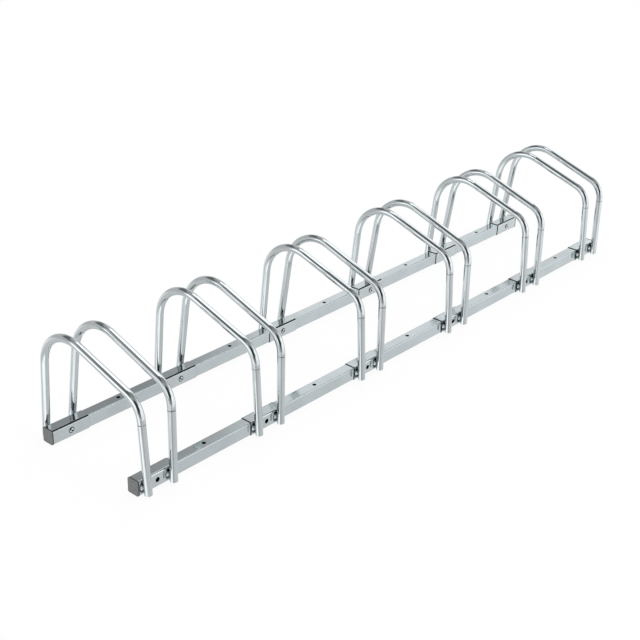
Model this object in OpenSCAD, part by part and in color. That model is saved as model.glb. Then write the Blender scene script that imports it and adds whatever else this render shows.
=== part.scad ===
// Floor bike rack for six bikes, of bright zinc-plated steel tube.
// The rails run along X, the front rail stands at -Y, and the floor is at Z = 0.
// The origin is on the floor, halfway along the rack and midway between the two rails.

/* [Wheel places] */
// Distance between two neighbouring wheel places, centre to centre
place_pitch = 313; // [270:1:360]
// How much nearer each end place stands to its neighbour than the pitch
end_place_shift = 28; // [22:1:30]
// Distance between the two rails, centre to centre
rail_spacing = 248; // [236:1:270]

/* [Hoops] */
// Height of the hoops above the floor
hoop_top = 255; // [245:1:285]
// Outside diameter of the hoop tube
hoop_tube = 16; // [14:0.5:18]
// Wall of the hoop tube
hoop_wall = 1.2; // [1:0.1:2]
// Distance between the two hoops of a place at the floor, between tube centres
hoop_spacing = 61; // [54:1:66]
// Angle at which each hoop leans away from its neighbour, in degrees
hoop_splay = 1.75; // [0.5:0.25:3]
// Angle at which the back leg leans in over the rails, in degrees
back_lean = 7; // [5:0.5:9]
// Angle at which the front leg leans in over the rails, in degrees
front_lean = 2; // [1:0.5:4]
// Angle at which the upper stretch falls towards the front, in degrees
slope = 19; // [16:0.5:22]
// Radius of the high back bend, to the middle of the tube
back_bend = 85; // [70:1:90]
// Radius of the low front bend, to the middle of the tube
front_bend = 48; // [36:1:56]
// How far a bend is swollen by the bending, on the tube's radius
bend_swell = 0.1; // [0.05:0.05:0.2]
// Height of the foot of a leg above the floor, at the middle of the tube
foot_lift = 2.5; // [2:0.25:4]

/* [Rail tubes] */
// Width of a rail tube, across the rail
tube_across = 25; // [22:0.5:28]
// Height of a rail tube
tube_high = 28; // [26:0.5:32]
// Wall of a rail tube
tube_wall = 1.5; // [1.2:0.1:1.8]
// Outer radius of the four long edges of a rail tube
tube_corner = 2.4; // [2.2:0.1:3]
// Space between two tubes that meet in the middle of a sleeve
tube_joint = 10; // [8:1:14]
// Diameter of the hole for a floor screw, in the middle of each tube
floor_hole = 8.5; // [6:0.5:10]

/* [Rail sleeves] */
// Length of the sleeve that holds a pair of hoops
sleeve_length = 86; // [84:1:96]
// Thickness of the sleeve's steel sheet
sleeve_sheet = 1.2; // [1:0.1:1.6]
// Width of the open seam along the sleeve's inner top edge
seam_width = 1.2; // [0.8:0.1:1.8]
// Diameter of the hole in the middle of the sleeve's outer side
sight_hole = 10; // [7:0.5:12]

/* [Sleeve screws] */
// Thread diameter of the screw in the middle of the sleeve's inner side
screw_size = 6; // [5:0.5:7]
// Length of the screw under its head
screw_length = 14; // [10:1:18]
// Diameter of the screw's domed head
head_across = 11; // [9.5:0.5:13]
// Height of the screw's domed head
head_high = 3.4; // [2.8:0.1:4.4]
// Width of the hexagon socket in the head, across its flats
socket_across = 4; // [3:0.5:5]
// Depth of the hexagon socket, as a share of the head's height
socket_depth_share = 0.6; // [0.4:0.05:0.7]

/* [Weld beads] */
// Radius of a bead
bead_radius = 4.5; // [4:0.25:5]
// Length of a bead, up the leg
bead_length = 15; // [12:1:18]
// Distance from the middle of a leg to the middle of a bead, as a share of the leg's radius
bead_offset_share = 0.85; // [0.75:0.05:0.95]

/* [End plugs] */
// Thickness of the plug's cap, which covers the end of the sleeve
cap_thick = 3.5; // [3:0.5:7]
// Radius of the cap's four corners
cap_corner = 3; // [2.5:0.1:4.5]
// Length of the plug's skirt inside the sleeve
skirt_length = 16; // [10:1:17]
// Wall of the plug's skirt
skirt_wall = 1.8; // [1.4:0.1:2.2]
// Space left between a plug's skirt and the end of the tube inside the sleeve
plug_gap = 4; // [2:0.5:8]

/* [Fits] */
// Space all round a tube or a plug inside its sleeve, and between a bead and its leg
fit = 0.3; // [0.2:0.05:0.4]
// Space between a leg and the top edge of its sleeve
leg_space = 0.4; // [0.3:0.05:0.8]

/* [Hidden] */
$fn = 48;
// Number of wheel places
places = 6;
// How far a cut runs past the faces that it opens
overrun = 2;
// How far a straight stretch of a hoop runs into the swollen bend next to it
tuck = 0.5;
// Which side of the rack a rail is on
front = -1;
back = 1;
rail_sides = [front, back];
rail_names = ["front", "back"];
// Which side of its place a hoop is on
hoop_sides = [-1, 1];
hoop_names = ["left", "right"];

// Inside and outside of a sleeve round its tube
sleeve_bore_across = tube_across + 2 * fit;
sleeve_bore_high = tube_high + 2 * fit;
sleeve_across = sleeve_bore_across + 2 * sleeve_sheet;
sleeve_high = sleeve_bore_high + 2 * sleeve_sheet;
sleeve_corner = tube_corner + fit + sleeve_sheet;
// Middle height of the sleeves, tubes and plugs, which rest on the floor by the sleeves
rail_z = sleeve_high / 2;

// Middle of a tube at rail_z, so that the leaning leg stays clear of the sleeve's top edge
leg_radius = hoop_tube / 2;
edge_y = rail_spacing / 2 + sleeve_across / 2 - sleeve_corner;
edge_above = sleeve_high - sleeve_corner - rail_z;
function leg_y(lean) = edge_y
    + (sleeve_corner + leg_space + leg_radius + edge_above * sin(lean)) / cos(lean);
front_leg_y = leg_y(front_lean);
back_leg_y = leg_y(back_lean);

// Centre line of a hoop in its own plane, as [y, z] points: up the back leg, round the
// back bend, down the slope, round the front bend and down the front leg
function back_at(z) = [back_leg_y - tan(back_lean) * (z - rail_z), z];
function front_at(z) = [tan(front_lean) * (z - rail_z) - front_leg_y, z];
function along(angle, distance) = [distance * cos(angle), distance * sin(angle)];
slope_up = 90 + slope;
slope_down = 180 + slope;
back_bend_z = hoop_top - leg_radius - bend_swell - back_bend;
back_centre = back_at(back_bend_z) - [back_bend / cos(back_lean), 0];
slope_start = back_centre + along(slope_up, back_bend);
front_leg_gap = slope_start[0] + front_bend * sin(slope) + front_leg_y
    - tan(front_lean) * (slope_start[1] - front_bend * cos(slope) - rail_z)
    - front_bend / cos(front_lean);
slope_length = front_leg_gap / (cos(slope) - tan(front_lean) * sin(slope));
slope_end = slope_start + along(slope_down, slope_length);
front_centre = slope_end - along(slope_up, front_bend);
back_leg_end = back_centre + along(back_lean, back_bend);
front_leg_end = front_centre + along(180 - front_lean, front_bend);

// Middle of wheel place i along X, counted from the left
function place_x(i) = (i - (places + 1) / 2) * place_pitch
    + (i == 1 ? end_place_shift : i == places ? -end_place_shift : 0);
// Middle of rail tube i along X
function tube_x(i) = (i - places / 2) * place_pitch;
rail_end = place_x(places) + sleeve_length / 2;
tube_end = rail_end - skirt_length - plug_gap;
// Ends of rail tube i, which meets its neighbours inside the sleeves
function tube_from(i) = i == 1 ? -tube_end : tube_x(i) - (place_pitch - tube_joint) / 2;
function tube_to(i) = -tube_from(places - i);
function rail_y(side) = side * rail_spacing / 2;

zinc = [0.80, 0.83, 0.84];
grey = [0.50, 0.50, 0.49];

// A round bar between two points of the hoop's plane, made longer at either end
module straight(from, to, radius, before, after) {
    run = to - from;
    translate([from[0], from[1], 0])
        rotate([0, 0, atan2(run[1], run[0])])
            rotate([0, 90, 0])
                translate([0, 0, -before])
                    cylinder(h = before + norm(run) + after, r = radius);
}

// A bent round bar in the hoop's plane, from one angle to the other about a centre
module bend(centre, from, to, bend_radius, radius) {
    translate([centre[0], centre[1], 0])
        rotate([0, 0, from])
            rotate_extrude(angle = to - from)
                translate([bend_radius, 0])
                    circle(r = radius + bend_swell);
}

// The whole bent bar, with each foot made longer by extra
module hoop_bar(radius, extra) {
    straight(back_at(foot_lift), back_leg_end, radius, extra, tuck);
    bend(back_centre, back_lean, slope_up, back_bend, radius);
    straight(slope_start, slope_end, radius, tuck, tuck);
    bend(front_centre, slope_up, 180 - front_lean, front_bend, radius);
    straight(front_at(foot_lift), front_leg_end, radius, extra, tuck);
}

// Puts the hoop's plane upright across the rails and leans it to its own side
module at_hoop(i, side) {
    translate([place_x(i) + side * hoop_spacing / 2, 0, 0])
        rotate([0, side * hoop_splay, 0])
            rotate([90, 0, 90])
                children();
}

// One wheel hoop: a round tube with two bends and open feet
module hoop(i, side) {
    color(zinc)
        at_hoop(i, side)
            difference() {
                hoop_bar(leg_radius, 0);
                hoop_bar(leg_radius - hoop_wall, overrun);
            }
}

// A bar along X with rounded long edges, centred on the rail's axis
module rail_bar(from, to, across, high, corner) {
    translate([from, -across / 2 + corner, -high / 2])
        cube([to - from, across - 2 * corner, high]);
    translate([from, -across / 2, -high / 2 + corner])
        cube([to - from, across, high - 2 * corner]);
    for (y = [-1, 1], z = [-1, 1])
        translate([from, y * (across / 2 - corner), z * (high / 2 - corner)])
            rotate([0, 90, 0])
                cylinder(h = to - from, r = corner);
}

// The two side holes of a sleeve: a wide one outwards and one for the screw inwards
module side_cuts(rail_side, x) {
    depth = sleeve_across / 2 + overrun;
    translate([x, 0, 0]) {
        rotate([-rail_side * 90, 0, 0])
            cylinder(h = depth, d = sight_hole);
        rotate([rail_side * 90, 0, 0])
            cylinder(h = depth, d = screw_size + 2 * fit);
    }
}

// One rail tube with the floor hole in its middle; the tubes at the ends of a rail reach
// past the middle of the end place, so the side holes go through them too
module rail_tube(rail_side, i) {
    from = tube_from(i);
    to = tube_to(i);
    bore_across = tube_across - 2 * tube_wall;
    bore_high = tube_high - 2 * tube_wall;
    depth = tube_high + 2 * overrun;
    color(zinc)
        translate([0, rail_y(rail_side), rail_z])
            difference() {
                rail_bar(from, to, tube_across, tube_high, tube_corner);
                rail_bar(from - overrun, to + overrun, bore_across, bore_high,
                    tube_corner - tube_wall);
                translate([tube_x(i), 0, -depth / 2])
                    cylinder(h = depth, d = floor_hole);
                if (i == 1)
                    side_cuts(rail_side, place_x(1));
                if (i == places - 1)
                    side_cuts(rail_side, place_x(places));
            }
}

// One sleeve of folded sheet, open along the top edge that faces the other rail
module rail_sleeve(rail_side, i) {
    from = place_x(i) - sleeve_length / 2;
    to = from + sleeve_length;
    seam_side = sleeve_bore_across / 2 - seam_width / 2;
    seam_high = sleeve_sheet + sleeve_corner + overrun;
    color(zinc)
        translate([0, rail_y(rail_side), rail_z])
            difference() {
                rail_bar(from, to, sleeve_across, sleeve_high, sleeve_corner);
                rail_bar(from - overrun, to + overrun, sleeve_bore_across, sleeve_bore_high,
                    tube_corner + fit);
                translate([from - overrun, -rail_side * seam_side - seam_width / 2,
                    sleeve_high / 2 - sleeve_sheet - sleeve_corner])
                    cube([sleeve_length + 2 * overrun, seam_width, seam_high]);
                side_cuts(rail_side, place_x(i));
            }
}

// One plug: a cap over the end of the sleeve and a hollow skirt inside it
module end_plug(rail_side, end) {
    skirt_across = sleeve_bore_across - 2 * fit;
    skirt_high = sleeve_bore_high - 2 * fit;
    skirt_bore = -2 * skirt_wall;
    color(grey)
        translate([0, rail_y(rail_side), rail_z])
            rotate([0, 0, end < 0 ? 180 : 0])
                translate([rail_end, 0, 0]) {
                    rail_bar(0, cap_thick, sleeve_across, sleeve_high, cap_corner);
                    difference() {
                        rail_bar(-skirt_length, 0, skirt_across, skirt_high, tube_corner);
                        rail_bar(-skirt_length - overrun, 0, skirt_across + skirt_bore,
                            skirt_high + skirt_bore, tube_corner - fit);
                    }
                }
}

// One domed screw with a hexagon socket, its head seated on z = 0
module domed_screw() {
    dome = (head_high * head_high + head_across * head_across / 4) / (2 * head_high);
    socket_depth = socket_depth_share * head_high;
    difference() {
        union() {
            difference() {
                translate([0, 0, head_high - dome])
                    sphere(r = dome);
                translate([-2 * dome, -2 * dome, -4 * dome])
                    cube([4 * dome, 4 * dome, 4 * dome]);
            }
            translate([0, 0, -screw_length])
                cylinder(h = screw_length + head_high - socket_depth, d = screw_size);
        }
        translate([0, 0, head_high - socket_depth])
            cylinder(h = socket_depth + overrun, d = socket_across / cos(30), $fn = 6);
    }
}

// The screws of one rail, which enter the sleeves from the side of the other rail
module sleeve_screws(rail_side) {
    face_y = rail_side * (rail_spacing / 2 - sleeve_across / 2);
    color(zinc)
        for (i = [1 : places])
            translate([place_x(i), face_y, rail_z])
                rotate([rail_side * 90, 0, 0])
                    domed_screw();
}

// One bead, seated on the outer face of the sleeve in the corner beside a leg
module weld_bead(rail_side, i, side, edge) {
    face_y = rail_side * (rail_spacing / 2 + sleeve_across / 2);
    leg_x = place_x(i) + side * (hoop_spacing / 2 + rail_z * tan(hoop_splay));
    bead_x = leg_x + edge * bead_offset_share * leg_radius;
    half = bead_length / 2 - bead_radius;
    difference() {
        translate([bead_x, face_y, rail_z]) {
            translate([0, 0, -half])
                cylinder(h = 2 * half, r = bead_radius);
            for (z = [-half, half])
                translate([0, 0, z])
                    sphere(r = bead_radius);
        }
        translate([bead_x - bead_radius - overrun,
            face_y - (rail_side > 0 ? bead_radius + overrun : 0),
            rail_z - bead_length])
            cube([2 * (bead_radius + overrun), bead_radius + overrun, 2 * bead_length]);
        at_hoop(i, side)
            if (rail_side < 0)
                straight(front_at(foot_lift), front_leg_end, leg_radius + fit, 0, 0);
            else
                straight(back_at(foot_lift), back_leg_end, leg_radius + fit, 0, 0);
    }
}

// The beads of one rail, one on each side of every leg
module weld_beads(rail_side) {
    color(zinc)
        for (i = [1 : places], side = hoop_sides, edge = [-1, 1])
            weld_bead(rail_side, i, side, edge);
}

for (i = [1 : places], s = [0, 1])
    hoop(i, hoop_sides[s]);
for (r = [0, 1], i = [1 : places - 1])
    rail_tube(rail_sides[r], i);
for (r = [0, 1], i = [1 : places])
    rail_sleeve(rail_sides[r], i);
for (r = [0, 1], s = [0, 1])
    end_plug(rail_sides[r], hoop_sides[s]);
for (r = [0, 1])
    sleeve_screws(rail_sides[r]);
for (r = [0, 1])
    weld_beads(rail_sides[r]);
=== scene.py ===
"""Floor bike rack for six wheels: finishes, weld beads, floor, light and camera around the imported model."""
import math

import bmesh
import bpy
from mathutils import Matrix, Vector, noise


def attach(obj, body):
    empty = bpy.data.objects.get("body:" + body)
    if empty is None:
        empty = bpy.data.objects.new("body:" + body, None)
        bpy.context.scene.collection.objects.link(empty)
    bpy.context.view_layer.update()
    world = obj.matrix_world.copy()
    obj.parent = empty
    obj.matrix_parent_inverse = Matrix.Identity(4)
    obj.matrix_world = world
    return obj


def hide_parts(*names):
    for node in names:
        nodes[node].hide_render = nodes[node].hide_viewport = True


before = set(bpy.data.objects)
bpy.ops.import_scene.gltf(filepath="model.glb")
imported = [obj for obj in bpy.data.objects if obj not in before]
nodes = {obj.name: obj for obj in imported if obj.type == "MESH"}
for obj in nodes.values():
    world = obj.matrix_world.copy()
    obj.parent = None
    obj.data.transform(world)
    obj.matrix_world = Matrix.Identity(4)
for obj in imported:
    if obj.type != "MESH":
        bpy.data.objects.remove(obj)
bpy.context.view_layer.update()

# ---------- sizes that the finishes share with the rack, in metres ----------
PLACES = (-0.7545, -0.4695, -0.1565, 0.1565, 0.4695, 0.7545)
SLEEVE_HALF_LENGTH = 0.043
RAIL_Y = 0.124
RAIL_AXIS_HEIGHT = 0.0155
SLEEVE_HALF_WIDTH, SLEEVE_HALF_HEIGHT = 0.014, 0.0155
TUBE_HALF_WIDTH, TUBE_HALF_HEIGHT = 0.0125, 0.014
HOOP_HALF_SPACING = 0.0305
SPLAY = math.radians(1.75)
FRONT_LEAN = math.radians(2)
FRONT_BEND_MARK = (0.0, -0.14214, 0.14920)
FRONT_LEGS_END_Y = -0.1
SEAM_Y = 0.1118
CAP_FACE_X = 0.801
SCREW_HEAD_RADIUS, SCREW_SOCKET_RADIUS = 0.0055, 0.0023
BEAD_RADIUS, BEAD_LENGTH, BEAD_OFFSET = 0.0045, 0.015, 0.0068

# ---------- colours of marks, dirt and painted shade ---
# painted shade in crevices, bores, holes and seams
PAINTED_SHADE_BLACK = (0.03, 0.03, 0.03, 1)
SCREW_SHADE = (0.03, 0.03, 0.035, 1)
# dark tool marks on the hoops, and painted shade on the weld beads' tips
TOOL_MARK_AND_TIP_SHADE = (0.05, 0.05, 0.05, 1)
SCRATCH = (0.72, 0.76, 0.77, 1)
SPECK = (0.25, 0.27, 0.27, 1)
# rubbed corners, also painted a little darker as shade that tones down their highlight
DULL_CORNER_AND_SHADE = (0.43, 0.47, 0.48, 1)
BURNT_ZINC = (0.36, 0.38, 0.37, 1)
WELD_DULL, WELD_BRIGHT = (0.48, 0.51, 0.52, 1), (0.66, 0.70, 0.71, 1)
WELD_SPECK = (0.12, 0.12, 0.12, 1)
PLASTIC_DARK, PLASTIC_PALE = (0.195, 0.197, 0.198, 1), (0.235, 0.237, 0.238, 1)
PLASTIC_SCUFF = (0.42, 0.42, 0.41, 1)
PLASTIC_EDGE = (0.30, 0.30, 0.30, 1)
# painted shade on the plug cap's sides
PLASTIC_OUTLINE_SHADE = (0.045, 0.046, 0.05, 1)

# ---------- small helpers for node trees ----------


def put(tree, kind, inputs=None, **settings):
    """Adds a node; an input is a value or another node's output."""
    node = tree.nodes.new(kind)
    for name, value in settings.items():
        setattr(node, name, value)
    for name, value in (inputs or {}).items():
        if isinstance(value, bpy.types.NodeSocket):
            tree.links.new(value, node.inputs[name])
        else:
            node.inputs[name].default_value = value
    node.location = (220 * (len(tree.nodes) % 9) - 900, 180 - 190 * (len(tree.nodes) // 9))
    return node


def calc(tree, operation, *values, clamp=False):
    """One sum, product or other step of arithmetic."""
    inputs = dict(enumerate(values))
    return put(tree, "ShaderNodeMath", inputs, operation=operation, use_clamp=clamp).outputs[0]


def distance_from(tree, value, centre):
    """How far a value lies from a centre, on either side of it."""
    return calc(tree, "ABSOLUTE", calc(tree, "SUBTRACT", value, centre))


def add_share(tree, value, mask, share):
    """The value plus a share of the mask."""
    return calc(tree, "ADD", value, calc(tree, "MULTIPLY", mask, share))


def ramp(tree, value, low, high, out_low=0.0, out_high=1.0):
    """A soft step: out_low below low, out_high above high."""
    inputs = {"Value": value, "From Min": low, "From Max": high, "To Min": out_low, "To Max": out_high}
    return put(tree, "ShaderNodeMapRange", inputs, interpolation_type="SMOOTHSTEP").outputs[0]


def fade(tree, value, low, high):
    """A soft step down: 1 below low, 0 above high."""
    return ramp(tree, value, low, high, 1.0, 0.0)


def vector_step(tree, operation, *vectors):
    """One step of arithmetic on vectors; returns the node."""
    return put(tree, "ShaderNodeVectorMath", dict(enumerate(vectors)), operation=operation)


def split(tree, vector):
    """The three coordinates of a vector."""
    return put(tree, "ShaderNodeSeparateXYZ", {0: vector}).outputs


def length_of(tree, *parts):
    """The length of the vector that has these coordinates."""
    joined = put(tree, "ShaderNodeCombineXYZ", dict(enumerate(parts))).outputs[0]
    return vector_step(tree, "LENGTH", joined).outputs["Value"]


def grain(tree, vector, scale, detail=2.0, roughness=0.5):
    """Soft noise between 0 and 1."""
    inputs = {"Vector": vector, "Scale": scale, "Detail": detail, "Roughness": roughness}
    return put(tree, "ShaderNodeTexNoise", inputs).outputs[0]


def blend_colour(tree, factor, first, second):
    """The first colour where the factor is 0, the second where it is 1."""
    node = put(tree, "ShaderNodeMix", data_type="RGBA")
    for index, value in ((0, factor), (6, first), (7, second)):
        if isinstance(value, bpy.types.NodeSocket):
            tree.links.new(value, node.inputs[index])
        else:
            node.inputs[index].default_value = value
    return node.outputs[2]


def tint(tree, colour, mask, share, mark):
    """The colour with a mark's own colour laid over it where the mask is."""
    return blend_colour(tree, calc(tree, "MULTIPLY", mask, share), colour, mark)


def bump(tree, height, distance, under=None):
    """The surface normal bent by a height, on top of another bump if one is given."""
    inputs = {"Height": height, "Distance": distance, "Strength": 1.0}
    if under is not None:
        inputs["Normal"] = under
    return put(tree, "ShaderNodeBump", inputs).outputs[0]


def new_group(name, inputs, outputs):
    """An empty shader group with named inputs and outputs; returns it with both ends."""
    group = bpy.data.node_groups.new(name, "ShaderNodeTree")
    for label, value in inputs:
        kind = "NodeSocketVector" if value is None else "NodeSocketFloat"
        socket = group.interface.new_socket(label, in_out="INPUT", socket_type=kind)
        if value is not None:
            socket.default_value = value
    for label in outputs:
        group.interface.new_socket(label, in_out="OUTPUT", socket_type="NodeSocketFloat")
    start = put(group, "NodeGroupInput")
    end = put(group, "NodeGroupOutput")
    return group, start.outputs, end.inputs


def use(tree, group, **values):
    """Places a group in a material with that material's own values."""
    node = put(tree, "ShaderNodeGroup", node_tree=group)
    for label, value in values.items():
        socket = node.inputs[label.replace("_", " ")]
        if isinstance(value, bpy.types.NodeSocket):
            tree.links.new(value, socket)
        else:
            socket.default_value = value
    return node.outputs


# ---------- effects that several finishes use ----------


def make_plating_clouds():
    """The uneven bloom of bright zinc: broad clouds, with finer mottling in them."""
    inputs = [("Place", None), ("Cloud Scale", 18.0), ("Mottle Scale", 160.0)]
    group, given, out = new_group("plating clouds", inputs, ["Cloud", "Mottle"])
    broad = grain(group, given["Place"], given["Cloud Scale"], 3.0, 0.55)
    fine = grain(group, given["Place"], given["Mottle Scale"], 3.0, 0.6)
    group.links.new(ramp(group, broad, 0.32, 0.68), out["Cloud"])
    group.links.new(ramp(group, fine, 0.35, 0.65), out["Mottle"])
    return group


def make_draw_lines():
    """Fine lines left by the drawing of the tube, along the stretched direction."""
    group, given, out = new_group(
        "draw lines", [("Stretched Place", None), ("Scale", 1.0)], ["Lines", "Height"])
    fine_scale = calc(group, "MULTIPLY", given["Scale"], 3.7)
    coarse = grain(group, given["Stretched Place"], given["Scale"], 2.0, 0.6)
    fine = grain(group, given["Stretched Place"], fine_scale, 1.0, 0.5)
    both = add_share(group, calc(group, "MULTIPLY", coarse, 0.6), fine, 0.4)
    group.links.new(ramp(group, both, 0.38, 0.62), out["Lines"])
    group.links.new(both, out["Height"])
    return group


def make_handling_wear():
    """Rubbed patches, hair scratches and small dull specks from packing and handling."""
    group, given, out = new_group(
        "handling wear", [("Place", None), ("Amount", 0.5)], ["Scratches", "Specks", "Rub", "Height"])
    slanted = vector_step(group, "MULTIPLY", given["Place"], (0.6, 1.0, 1.7)).outputs[0]
    cells = put(group, "ShaderNodeTexVoronoi", {"Vector": slanted, "Scale": 46.0}, feature="DISTANCE_TO_EDGE")
    thin = fade(group, cells.outputs["Distance"], 0.0, 0.012)
    patchy = ramp(group, grain(group, given["Place"], 30.0, 2.0), 0.56, 0.66)
    scratches = calc(group, "MULTIPLY", calc(group, "MULTIPLY", thin, patchy), given["Amount"])
    dots = put(group, "ShaderNodeTexVoronoi", {"Vector": given["Place"], "Scale": 120.0}, feature="F1")
    near = fade(group, dots.outputs["Distance"], 0.10, 0.20)
    few = ramp(group, grain(group, given["Place"], 55.0, 1.0), 0.60, 0.66)
    specks = calc(group, "MULTIPLY", calc(group, "MULTIPLY", near, few), given["Amount"])
    rubbed = ramp(group, grain(group, given["Place"], 70.0, 4.0, 0.7), 0.50, 0.72)
    height = calc(group, "SUBTRACT", calc(group, "MULTIPLY", specks, 0.4), scratches)
    group.links.new(scratches, out["Scratches"])
    group.links.new(specks, out["Specks"])
    group.links.new(calc(group, "MULTIPLY", rubbed, given["Amount"]), out["Rub"])
    group.links.new(height, out["Height"])
    return group


def make_slow_waviness():
    """The slightly uneven surface of rolled steel, which makes reflections wander."""
    group, given, out = new_group("slow waviness", [("Place", None), ("Wave Scale", 26.0)], ["Height"])
    short_scale = calc(group, "MULTIPLY", given["Wave Scale"], 3.1)
    long_wave = grain(group, given["Place"], given["Wave Scale"], 1.0, 0.4)
    short_wave = grain(group, given["Place"], short_scale, 0.0)
    group.links.new(add_share(group, long_wave, short_wave, 0.18), out["Height"])
    return group


def from_rail_axis(tree, axes):
    """How far a place lies beside its rail's axis, and above or below it."""
    beside = distance_from(tree, calc(tree, "ABSOLUTE", axes[1]), RAIL_Y)
    above = distance_from(tree, axes[2], RAIL_AXIS_HEIGHT)
    return beside, above


def make_corner_polish():
    """The long rounded corners of a rail section, where rubbing has left the zinc duller; the zinc finish also
    paints them a little darker, as painted shade that tones down their highlight.
    """
    inputs = [("Place", None), ("Half Width", TUBE_HALF_WIDTH), ("Half Height", TUBE_HALF_HEIGHT), ("Reach", 0.003)]
    group, given, out = new_group("corner polish", inputs, ["Corner"])
    beside, above = from_rail_axis(group, split(group, given["Place"]))
    from_side = calc(group, "SUBTRACT", given["Half Width"], beside)
    from_top = calc(group, "SUBTRACT", given["Half Height"], above)
    farther = calc(group, "MAXIMUM", from_side, from_top)
    inner = calc(group, "MULTIPLY", given["Reach"], 0.25)
    group.links.new(fade(group, farther, inner, given["Reach"]), out["Corner"])
    return group


def nearest_place(tree, along):
    """How far a place lies from the middle of its nearest pair of hoops, along the rack."""
    along = calc(tree, "ABSOLUTE", along)
    nearest = None
    for place in PLACES[3:]:
        gap = distance_from(tree, along, place)
        nearest = gap if nearest is None else calc(tree, "MINIMUM", nearest, gap)
    return nearest


def make_weld_marks():
    """Dull zinc round the foot of each leg, painted shade in the crevice round each weld bead, and a mask on the
    bead's upper and lower tips, which the weld finish paints as shade.
    """
    bead_depth = 0.006
    tip_height, tip_start, tip_end = 0.002, 0.0040, 0.0052
    group, given, out = new_group("weld marks", [("Place", None)], ["Stain", "Crevice Shade", "Bead Tip Shade"])
    axes = split(group, given["Place"])
    from_leg = distance_from(group, nearest_place(group, axes[0]), HOOP_HALF_SPACING)
    up = calc(group, "SUBTRACT", axes[2], RAIL_AXIS_HEIGHT)
    outward = calc(group, "SUBTRACT", calc(group, "ABSOLUTE", axes[1]), RAIL_Y + SLEEVE_HALF_WIDTH)
    uneven = calc(group, "SUBTRACT", grain(group, given["Place"], 330.0, 2.0, 0.6), 0.5)
    ragged = calc(group, "MULTIPLY", uneven, 0.5)
    wide = calc(group, "DIVIDE", calc(group, "SUBTRACT", from_leg, BEAD_OFFSET), BEAD_RADIUS)
    deep = calc(group, "DIVIDE", outward, bead_depth)
    tall = calc(group, "DIVIDE", up, BEAD_LENGTH / 2)
    # 1 on the bead's outline, less inside it
    away = calc(group, "ADD", length_of(group, wide, deep, tall), ragged)
    # painted shade: a near-black ring in the crevice round the bead
    crevice = calc(group, "MULTIPLY", ramp(group, away, 0.85, 1.0), fade(group, away, 1.12, 1.42))
    from_middle = add_share(group, distance_from(group, up, tip_height), ragged, 0.004)
    group.links.new(fade(group, away, 1.3, 2.3), out["Stain"])
    group.links.new(crevice, out["Crevice Shade"])
    # the bead's upper and lower tips, which the weld finish paints dark as shade
    group.links.new(ramp(group, from_middle, tip_start, tip_end), out["Bead Tip Shade"])
    return group


def make_screw_seat():
    """Painted shade round a screw's head, on the head's rim, and in the socket in it."""
    group, given, out = new_group("screw seat", [("Place", None)], ["Shade", "Rim", "Socket"])
    axes = split(group, given["Place"])
    up = calc(group, "SUBTRACT", axes[2], RAIL_AXIS_HEIGHT)
    away = length_of(group, nearest_place(group, axes[0]), up)
    inner_face = RAIL_Y - SLEEVE_HALF_WIDTH + 0.0005
    inner = calc(group, "LESS_THAN", calc(group, "ABSOLUTE", axes[1]), inner_face)
    # painted shade: a dark ring on the sleeve round the head, a dark rim on the head, and a black socket
    shade = fade(group, away, SCREW_HEAD_RADIUS + 0.0006, SCREW_HEAD_RADIUS + 0.0016)
    rim = ramp(group, away, SCREW_HEAD_RADIUS - 0.0014, SCREW_HEAD_RADIUS - 0.0004)
    socket = fade(group, away, SCREW_SOCKET_RADIUS - 0.0002, SCREW_SOCKET_RADIUS + 0.0002)
    group.links.new(calc(group, "MULTIPLY", shade, inner), out["Shade"])
    group.links.new(rim, out["Rim"])
    group.links.new(socket, out["Socket"])
    return group


def make_rail_shade():
    """Painted shade on a rail tube (under a sleeve, in the bore, in the floor holes), and on the sheet's
    cut ends and along its open seam."""
    bore_margin = 0.0011
    hole_margin, hole_depth = 0.0030, 0.0003
    seam_start, seam_end, seam_above = 0.0011, 0.0017, 0.008
    group, given, out = new_group("rail shade", [("Place", None)], ["Inside", "Seam and End Shade"])
    axes = split(group, given["Place"])
    nearest = nearest_place(group, axes[0])
    # painted shade: near black on the tube where a sleeve covers it, which shows through the seam
    under = fade(group, nearest, SLEEVE_HALF_LENGTH - 0.0008, SLEEVE_HALF_LENGTH)
    beside, above = from_rail_axis(group, axes)
    # painted shade inside the tube's bore and in the walls of its floor holes
    bore = calc(group, "MULTIPLY", calc(group, "LESS_THAN", beside, TUBE_HALF_WIDTH - bore_margin),
                calc(group, "LESS_THAN", above, TUBE_HALF_HEIGHT - bore_margin))
    hole = calc(group, "MULTIPLY", calc(group, "LESS_THAN", beside, TUBE_HALF_WIDTH - hole_margin),
                calc(group, "LESS_THAN", above, TUBE_HALF_HEIGHT - hole_depth))
    group.links.new(calc(group, "MAXIMUM", under, calc(group, "MAXIMUM", bore, hole)), out["Inside"])
    # painted shade along the sleeve's open seam on top
    from_seam = distance_from(group, calc(group, "ABSOLUTE", axes[1]), SEAM_Y)
    on_top = calc(group, "GREATER_THAN", axes[2], RAIL_AXIS_HEIGHT + seam_above)
    seam = calc(group, "MULTIPLY", fade(group, from_seam, seam_start, seam_end), on_top)
    # painted shade on the sleeve's cut end faces, which lie in shadow
    cut = calc(group, "GREATER_THAN", nearest, SLEEVE_HALF_LENGTH - 0.0002)
    group.links.new(calc(group, "MAXIMUM", seam, cut), out["Seam and End Shade"])
    return group


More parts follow.
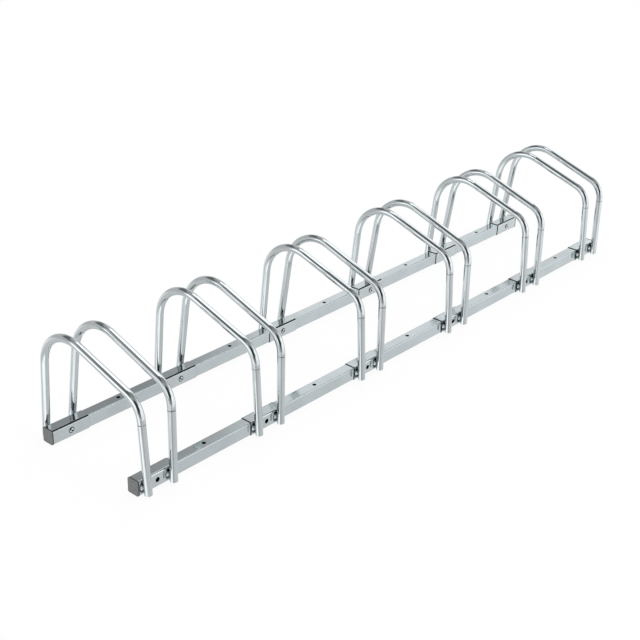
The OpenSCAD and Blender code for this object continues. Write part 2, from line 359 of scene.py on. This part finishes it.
def make_bend_marks():
    """The thin dark ring that the bending tool left on each front leg, just under its bend."""
    group, given, out = new_group("bend marks", [("Place", None), ("Ring Width", 0.0016)], ["Ring"])
    axes = split(group, given["Place"])
    moved = vector_step(group, "SUBTRACT", given["Place"], FRONT_BEND_MARK).outputs[0]
    run = (0.0, math.sin(FRONT_LEAN), math.cos(FRONT_LEAN))
    past = vector_step(group, "DOT_PRODUCT", moved, run).outputs["Value"]
    share = calc(group, "DIVIDE", calc(group, "ABSOLUTE", past), given["Ring Width"])
    in_front = calc(group, "LESS_THAN", axes[1], FRONT_LEGS_END_Y)
    band = calc(group, "MULTIPLY", fade(group, share, 0.35, 1.0), in_front)
    broken = ramp(group, grain(group, given["Place"], 210.0, 2.0), 0.40, 0.60, 0.35, 1.0)
    group.links.new(calc(group, "MULTIPLY", band, broken), out["Ring"])
    return group


PLATING_CLOUDS = make_plating_clouds()
DRAW_LINES = make_draw_lines()
HANDLING_WEAR = make_handling_wear()
SLOW_WAVINESS = make_slow_waviness()
CORNER_POLISH = make_corner_polish()
WELD_MARKS = make_weld_marks()
SCREW_SEAT = make_screw_seat()
RAIL_SHADE = make_rail_shade()
BEND_MARKS = make_bend_marks()

# ---------- finishes ----------


def start_finish(name):
    """A new material; returns its tree, shader and the place on the rack."""
    material = bpy.data.materials.new(name)
    material.use_nodes = True
    tree = material.node_tree
    shader = tree.nodes["Principled BSDF"]
    shader.location = (1300, 100)
    tree.nodes["Material Output"].location = (1600, 100)
    place = put(tree, "ShaderNodeTexCoord").outputs["Object"]
    return material, tree, shader, place


def end_finish(tree, shader, colour, rough, normal, metallic):
    """Joins the colour, roughness and normal to the shader."""
    tree.links.new(colour, shader.inputs["Base Color"])
    tree.links.new(rough, shader.inputs["Roughness"])
    tree.links.new(normal, shader.inputs["Normal"])
    shader.inputs["Metallic"].default_value = metallic


def zinc_finish(name, bright, dull, roughness, grain_scale, corner=None, stain_and_shade=0.0, marks=0.0, painted_shade_part=None,
                screw=(), wear=0.5, wave=0.0001, line_depth=0.00001, line_contrast=0.4):
    """Bright zinc plate on steel, with the marks that this piece of the rack shows.

    The grain is long where its scale is small. The corner is half the section's width and height.
    """
    material, tree, shader, place = start_finish(name)
    clouds = use(tree, PLATING_CLOUDS, Place=place)
    stretched = vector_step(tree, "MULTIPLY", place, grain_scale).outputs[0]
    lines = use(tree, DRAW_LINES, Stretched_Place=stretched)
    rubbed = use(tree, HANDLING_WEAR, Place=place, Amount=wear)
    waves = use(tree, SLOW_WAVINESS, Place=place)

    tone = add_share(tree, calc(tree, "MULTIPLY", clouds["Cloud"], 0.55), clouds["Mottle"], 0.15)
    tone = add_share(tree, tone, lines["Lines"], line_contrast)
    colour = blend_colour(tree, tone, dull, bright)
    colour = tint(tree, colour, rubbed["Scratches"], 0.5, SCRATCH)
    colour = tint(tree, colour, rubbed["Specks"], 0.6, SPECK)
    rough = add_share(tree, roughness, clouds["Mottle"], 0.02)
    rough = add_share(tree, rough, lines["Lines"], 0.02)
    rough = add_share(tree, rough, rubbed["Rub"], 0.06)
    # rubbed corners are rougher, and painted a little darker as shade that tones down their highlight
    if corner:
        half_width, half_height = corner
        polish = use(tree, CORNER_POLISH, Place=place, Half_Width=half_width, Half_Height=half_height)["Corner"]
        colour = tint(tree, colour, polish, 0.5, DULL_CORNER_AND_SHADE)
        rough = add_share(tree, rough, polish, 0.3)
    # dull zinc round the welds, and painted shade in the crevice round each bead
    if stain_and_shade:
        weld_stain_and_shade = use(tree, WELD_MARKS, Place=place)
        colour = tint(tree, colour, weld_stain_and_shade["Stain"], 0.25 * stain_and_shade, BURNT_ZINC)
        colour = tint(tree, colour, weld_stain_and_shade["Crevice Shade"], 0.9 * stain_and_shade, PAINTED_SHADE_BLACK)
        rough = add_share(tree, rough, weld_stain_and_shade["Stain"], 0.06 * stain_and_shade)
    # painted shade round the screw heads, on their rims and in their sockets
    if screw:
        shade = use(tree, SCREW_SEAT, Place=place)
        for part, amount in screw:
            colour = tint(tree, colour, shade[part], amount, SCREW_SHADE)
    # painted shade: near black where the chosen mask of the rail shade group is
    if painted_shade_part:
        painted_shade = use(tree, RAIL_SHADE, Place=place)[painted_shade_part]
        colour = tint(tree, colour, painted_shade, 0.93, PAINTED_SHADE_BLACK)
        rough = add_share(tree, rough, painted_shade, 0.5)
    if marks:
        ring = use(tree, BEND_MARKS, Place=place)["Ring"]
        colour = tint(tree, colour, ring, marks, TOOL_MARK_AND_TIP_SHADE)
        rough = add_share(tree, rough, ring, 0.2)

    wavy = bump(tree, waves["Height"], wave)
    lined = bump(tree, lines["Height"], line_depth, wavy)
    worn = bump(tree, rubbed["Height"], 0.00003, lined)
    end_finish(tree, shader, colour, calc(tree, "ADD", rough, 0.0, clamp=True), worn, 1.0)
    return material


def plug_finish():
    """Grey moulded plastic with a fine spark texture, paler scuffs, and painted shade on the cap's sides, which
    outlines it dark.
    """
    material, tree, shader, place = start_finish("grey plug plastic")
    clouds = use(tree, PLATING_CLOUDS, Place=place, Cloud_Scale=60.0, Mottle_Scale=900.0)
    rubbed = use(tree, HANDLING_WEAR, Place=place, Amount=0.6)
    polish = use(tree, CORNER_POLISH, Place=place, Half_Width=SLEEVE_HALF_WIDTH, Half_Height=SLEEVE_HALF_HEIGHT,
                 Reach=0.0035)["Corner"]
    along = calc(tree, "ABSOLUTE", split(tree, place)[0])
    # painted shade: the cap's sides, up to about a millimetre from its end face, are near black
    outline = fade(tree, along, CAP_FACE_X - 0.0016, CAP_FACE_X - 0.0006)
    tone = add_share(tree, calc(tree, "MULTIPLY", clouds["Cloud"], 0.6), clouds["Mottle"], 0.4)
    colour = blend_colour(tree, tone, PLASTIC_DARK, PLASTIC_PALE)
    colour = tint(tree, colour, rubbed["Scratches"], 0.5, PLASTIC_SCUFF)
    colour = tint(tree, colour, polish, 0.12, PLASTIC_EDGE)
    colour = tint(tree, colour, outline, 0.8, PLASTIC_OUTLINE_SHADE)
    rough = add_share(tree, 0.42, clouds["Cloud"], 0.08)
    rough = add_share(tree, rough, rubbed["Rub"], 0.1)
    pitted = bump(tree, clouds["Mottle"], 0.00004)
    worn = bump(tree, rubbed["Height"], 0.00004, pitted)
    end_finish(tree, shader, colour, rough, worn, 0.0)
    return material


def weld_finish():
    """Plated weld metal: mottled, with dark specks, and painted shade on its upper and lower tips."""
    material, tree, shader, place = start_finish("plated weld beads")
    clouds = use(tree, PLATING_CLOUDS, Place=place, Cloud_Scale=120.0, Mottle_Scale=700.0)
    rubbed = use(tree, HANDLING_WEAR, Place=place, Amount=0.8)
    marks = use(tree, WELD_MARKS, Place=place)
    colour = blend_colour(tree, clouds["Mottle"], WELD_DULL, WELD_BRIGHT)
    # painted shade on the bead's tips, where the gap between leg and sleeve lies in shadow
    colour = tint(tree, colour, marks["Bead Tip Shade"], 0.9, TOOL_MARK_AND_TIP_SHADE)
    colour = tint(tree, colour, rubbed["Specks"], 0.6, WELD_SPECK)
    rough = add_share(tree, 0.22, clouds["Mottle"], 0.16)
    end_finish(tree, shader, colour, rough, bump(tree, clouds["Mottle"], 0.00008), 1.0)
    return material


ALONG_RAIL = (14.0, 900.0, 900.0)
ALONG_HOOP = (500.0, 60.0, 60.0)
NO_GRAIN = (300.0, 300.0, 300.0)
HOOP_ZINC = zinc_finish(
    "bright zinc on the hoops", (0.56, 0.60, 0.61, 1), (0.50, 0.54, 0.55, 1), 0.035, ALONG_HOOP,
    stain_and_shade=0.2, marks=0.8, wear=0.3, line_contrast=0.15)
RAIL_ZINC = zinc_finish(
    "bright zinc on the rail tubes", (0.54, 0.595, 0.61, 1), (0.475, 0.525, 0.54, 1), 0.07, ALONG_RAIL,
    corner=(TUBE_HALF_WIDTH, TUBE_HALF_HEIGHT), painted_shade_part="Inside")
SLEEVE_ZINC = zinc_finish(
    "bright zinc on the sleeves", (0.555, 0.605, 0.62, 1), (0.49, 0.535, 0.55, 1), 0.05, ALONG_RAIL,
    corner=(SLEEVE_HALF_WIDTH, SLEEVE_HALF_HEIGHT), stain_and_shade=0.8, painted_shade_part="Seam and End Shade",
    screw=(("Shade", 0.95),), wear=0.6)
SCREW_ZINC = zinc_finish(
    "bright zinc on the screws", (0.62, 0.66, 0.67, 1), (0.50, 0.54, 0.55, 1), 0.07, NO_GRAIN,
    screw=(("Rim", 0.75), ("Socket", 0.95)), wear=0.8, wave=0.00005)
WELD_ZINC = weld_finish()
PLUG_PLASTIC = plug_finish()

FINISH_OF = {"hoop": HOOP_ZINC, "rail_tube": RAIL_ZINC, "rail_sleeve": SLEEVE_ZINC,
             "end_plug": PLUG_PLASTIC, "sleeve_screws": SCREW_ZINC, "weld_beads": WELD_ZINC}
for name, piece in nodes.items():
    finish = next(material for start, material in FINISH_OF.items() if name.startswith(start + "_"))
    for slot in piece.material_slots:
        slot.material = finish

# ---------- weld beads with their ripples ----------
BEAD_RINGS, BEAD_STEPS = 22, 18
BEAD_WIDTH_SHARE, BEAD_LENGTH_SHARE = 0.86, 0.93  # of the plain bead, so that the ripples stay within it
COARSE_RIPPLES, COARSE_DEPTH = 11, 0.07
FINE_RIPPLES, FINE_DEPTH = 23, 0.03
LUMP_SCALE, LUMP_DEPTH = 1.7, 0.16
BLUNT_ENDS = 0.85
SEED_STEP = 1.37


def weld_bead(mesh, middle, seed):
    """One short run of weld: a rounded bead with ripples and an uneven outline."""
    tall = (BEAD_LENGTH / 2) * BEAD_LENGTH_SHARE
    rows = []
    for ring in range(BEAD_RINGS + 1):
        along = math.pi * ring / BEAD_RINGS
        ripple = (1.0 + COARSE_DEPTH * math.sin(COARSE_RIPPLES * along + seed)
                  + FINE_DEPTH * math.sin(FINE_RIPPLES * along + 2 * seed))
        row = []
        for step in range(BEAD_STEPS):
            turn = 2 * math.pi * step / BEAD_STEPS
            point = Vector((math.sin(along) * math.cos(turn), math.sin(along) * math.sin(turn), -math.cos(along)))
            lump = noise.noise(point * LUMP_SCALE + Vector((seed * 3.1, seed * 1.7, 0.0)))
            wide = BEAD_RADIUS * BEAD_WIDTH_SHARE * ripple * (1.0 + LUMP_DEPTH * lump)
            blunt = math.copysign(abs(point.z) ** BLUNT_ENDS, point.z)
            row.append(mesh.verts.new(middle + Vector((point.x * wide, point.y * wide, blunt * tall))))
        rows.append(row)
    for low, high in zip(rows, rows[1:]):
        for step in range(BEAD_STEPS):
            after = (step + 1) % BEAD_STEPS
            mesh.faces.new((low[step], low[after], high[after], high[step]))


def weld_run(rail_side, rail_name):
    """All the beads of one rail as one piece that stands for the model's plain ones."""
    mesh = bmesh.new()
    bead_y = rail_side * (RAIL_Y + SLEEVE_HALF_WIDTH)
    seed = 0.0
    for place in PLACES:
        for hoop_side in (-1, 1):
            leg_x = place + hoop_side * (HOOP_HALF_SPACING + RAIL_AXIS_HEIGHT * math.tan(SPLAY))
            for edge in (-1, 1):
                seed += SEED_STEP
                weld_bead(mesh, Vector((leg_x + edge * BEAD_OFFSET, bead_y, RAIL_AXIS_HEIGHT)), seed)
    bmesh.ops.remove_doubles(mesh, verts=mesh.verts, dist=1e-6)
    bmesh.ops.recalc_face_normals(mesh, faces=mesh.faces)
    for face in mesh.faces:
        face.smooth = True
    data = bpy.data.meshes.new("rippled_beads_" + rail_name)
    mesh.to_mesh(data)
    mesh.free()
    data.materials.append(WELD_ZINC)
    piece = bpy.data.objects.new("rippled_beads_" + rail_name, data)
    bpy.context.scene.collection.objects.link(piece)
    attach(piece, "root")
    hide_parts("weld_beads_" + rail_name)


weld_run(-1, "front")
weld_run(1, "back")

# ---------- floor ----------
FLOOR_REACH, FLOOR_DROP = 12.0, 0.0002
FLOOR_SHEEN = 0.3  # what metal sees of the floor itself; the rest is the studio below the horizon
FLOOR_PAINT = (0.95, 0.95, 0.95, 1)
FLOOR_GLOW, FLOOR_GLOW_SHARE = 1.05, 0.88  # keeps the floor white and its shadows faint


def make_floor():
    """A plain white floor; it keeps a faint shadow, and metal shows it as white too."""
    data = bpy.data.meshes.new("studio floor")
    corners = [(x * FLOOR_REACH, y * FLOOR_REACH, 0) for x, y in ((-1, -1), (1, -1), (1, 1), (-1, 1))]
    data.from_pydata(corners, [], [(0, 1, 2, 3)])
    floor = bpy.data.objects.new("studio_floor", data)
    bpy.context.scene.collection.objects.link(floor)
    floor.location.z = -FLOOR_DROP
    material = bpy.data.materials.new("studio floor")
    material.use_nodes = True
    tree = material.node_tree
    tree.nodes.remove(tree.nodes["Principled BSDF"])
    path = put(tree, "ShaderNodeLightPath").outputs
    seen = calc(tree, "ADD", path["Is Camera Ray"], path["Is Glossy Ray"])
    seen = calc(tree, "ADD", seen, path["Is Transmission Ray"], clamp=True)
    matt = put(tree, "ShaderNodeBsdfDiffuse", {"Color": FLOOR_PAINT}).outputs[0]
    glow = put(tree, "ShaderNodeEmission", {"Color": (1, 1, 1, 1), "Strength": FLOOR_GLOW}).outputs[0]
    glowing = calc(tree, "MULTIPLY", seen, FLOOR_GLOW_SHARE)
    white = put(tree, "ShaderNodeMixShader", {0: glowing, 1: matt, 2: glow}).outputs[0]
    beyond = put(tree, "ShaderNodeBsdfTransparent").outputs[0]
    mirrored = calc(tree, "MULTIPLY", path["Is Glossy Ray"], 1.0 - FLOOR_SHEEN)
    mixed = put(tree, "ShaderNodeMixShader", {0: mirrored, 1: white, 2: beyond})
    tree.links.new(mixed.outputs[0], tree.nodes["Material Output"].inputs["Surface"])
    data.materials.append(material)


make_floor()

# ---------- studio: pale walls, a darker ceiling, and soft areas of light and dark ----------


def aim(azimuth, height):
    """The direction of a point in the studio; azimuth 0 looks along +Y and turns to +X."""
    a, h = math.radians(azimuth), math.radians(height)
    return Vector((math.sin(a) * math.cos(h), math.cos(a) * math.cos(h), math.sin(h)))


# Each line is one soft-edged area of the studio: the azimuth and height of its middle, half its
# width and height in degrees, how wide its soft edge is, and how bright it is, where the floor is
# about 1. A later area covers an earlier one. Only the metal shows them: those below the horizon
# through the floor, which is mostly clear to reflections.
STUDIO_AREAS = (
    ("lit floor before the camera", -121, -47, 28, 13, 8, 2.0),
    ("lit patch of floor at the left", -87, -27, 20, 11, 8, 2.1),
    ("dim patch of floor", -140, -27, 13, 6, 8, 0.4),
    ("lit floor at the right", 121, -22, 18, 7, 8, 0.98),
    ("lit floor behind the rack", -10, -22, 20, 16, 16, 1.3),
    ("white wall at the right", 150, 8, 46, 27, 10, 1.6),
    ("dim room behind the camera", -141, 1, 25, 15, 8, 0.12),
    ("dark room behind the camera", -151, 33, 30, 20, 10, 0.05),
    ("reflector at the left", -100, 7, 14, 10, 8, 1.7),
    ("low window at the left", -74, 4, 24, 16, 8, 2.1),
    ("dark ceiling at the left", -84, 62, 20, 24, 14, 0.15),
    ("dark ceiling at the right", 88, 66, 17, 24, 12, 0.35),
    ("white screen at the right", 52, 26, 9, 10, 12, 1.1),
    ("softbox at the right", 73, 44, 10, 33, 6, 1.65),
    ("softbox high at the right", 40, 66, 14, 9, 6, 1.7),
    ("dark top of the backdrop", -12, 40, 32, 11, 9, 0.2),
    ("grey fold in the backdrop", 36, 29, 8, 9, 10, 0.42),
    ("dark gap in the backdrop", 28.5, 34, 5, 10, 4, 0.1),
)
LOW_TONE, WALL_TONE = 0.80, 0.72
LOW_END, WALL_START = -26, -10
WALL_END, CEILING_START, CEILING_SHARE = 35, 75, 0.5
BLUE_TINT = 1.01


def make_studio():
    """Light by direction, for the metal; the camera itself sees plain white."""
    world = bpy.data.worlds.new("studio")
    bpy.context.scene.world = world
    world.use_nodes = True
    tree = world.node_tree
    axes = split(tree, put(tree, "ShaderNodeTexCoord").outputs["Generated"])
    azimuth = calc(tree, "DEGREES", calc(tree, "ARCTAN2", axes[0], axes[1]))
    height = calc(tree, "DEGREES", calc(tree, "ARCSINE", axes[2]))
    level = ramp(tree, height, LOW_END, WALL_START, LOW_TONE, WALL_TONE)
    level = calc(tree, "MULTIPLY", level, ramp(tree, height, WALL_END, CEILING_START, 1.0, CEILING_SHARE))
    for label, turn, up, half_width, half_height, edge, tone in STUDIO_AREAS:
        aside = calc(tree, "PINGPONG", calc(tree, "SUBTRACT", azimuth, turn), 180.0)
        above = distance_from(tree, height, up)
        inside = calc(tree, "MULTIPLY", fade(tree, aside, half_width - edge / 2, half_width + edge / 2),
                      fade(tree, above, half_height - edge / 2, half_height + edge / 2))
        change = calc(tree, "MULTIPLY", calc(tree, "SUBTRACT", tone, level), inside)
        level = calc(tree, "ADD", level, change)
        level.node.label = label
    seen = put(tree, "ShaderNodeLightPath").outputs["Is Camera Ray"]
    level = add_share(tree, level, calc(tree, "SUBTRACT", 1.0, level), seen)
    blue = calc(tree, "MULTIPLY", level, BLUE_TINT)
    colour = put(tree, "ShaderNodeCombineColor", {0: level, 1: level, 2: blue})
    tree.links.new(colour.outputs[0], tree.nodes["Background"].inputs["Color"])


make_studio()


def soft_lamp(name, azimuth, height, distance, width, depth, tone):
    """A rectangular softbox that looks as bright as the tone, aimed at the rack."""
    data = bpy.data.lights.new(name, "AREA")
    data.shape = "RECTANGLE"
    data.size, data.size_y = width, depth
    data.energy = tone * math.pi * width * depth
    lamp = bpy.data.objects.new(name, data)
    bpy.context.scene.collection.objects.link(lamp)
    way = aim(azimuth, height)
    lamp.location = way * distance
    lamp.rotation_euler = way.to_track_quat("Z", "Y").to_euler()


soft_lamp("overhead softbox", azimuth=0, height=77, distance=3.0, width=1.5, depth=0.85, tone=1.5)

# ---------- camera, at the photograph's viewing angle ----------
CAMERA_PLACE = (-1.9457, -1.5406, 1.2375)
CAMERA_AZIMUTH, CAMERA_DOWN, CAMERA_ROLL = 49.258, 26.105, 1.691
CAMERA_LENS, SENSOR_WIDTH = 67.43, 36
CAMERA_SIGHT = 100


def make_camera():
    """The camera that was fitted to the photograph, with its slight roll."""
    forward = aim(CAMERA_AZIMUTH, -CAMERA_DOWN)
    right = forward.cross(Vector((0, 0, 1))).normalized()
    up = right.cross(forward)
    roll = math.radians(CAMERA_ROLL)
    turned_right = math.cos(roll) * right + math.sin(roll) * up
    turned_up = -math.sin(roll) * right + math.cos(roll) * up
    data = bpy.data.cameras.new("camera")
    data.lens = CAMERA_LENS
    data.sensor_width = SENSOR_WIDTH
    data.clip_end = CAMERA_SIGHT
    camera = bpy.data.objects.new("camera", data)
    bpy.context.scene.collection.objects.link(camera)
    turn = Matrix((turned_right, turned_up, -forward)).transposed()
    camera.matrix_world = Matrix.Translation(CAMERA_PLACE) @ turn.to_4x4()
    bpy.context.scene.camera = camera


make_camera()
bpy.context.scene.view_settings.view_transform = "Standard"
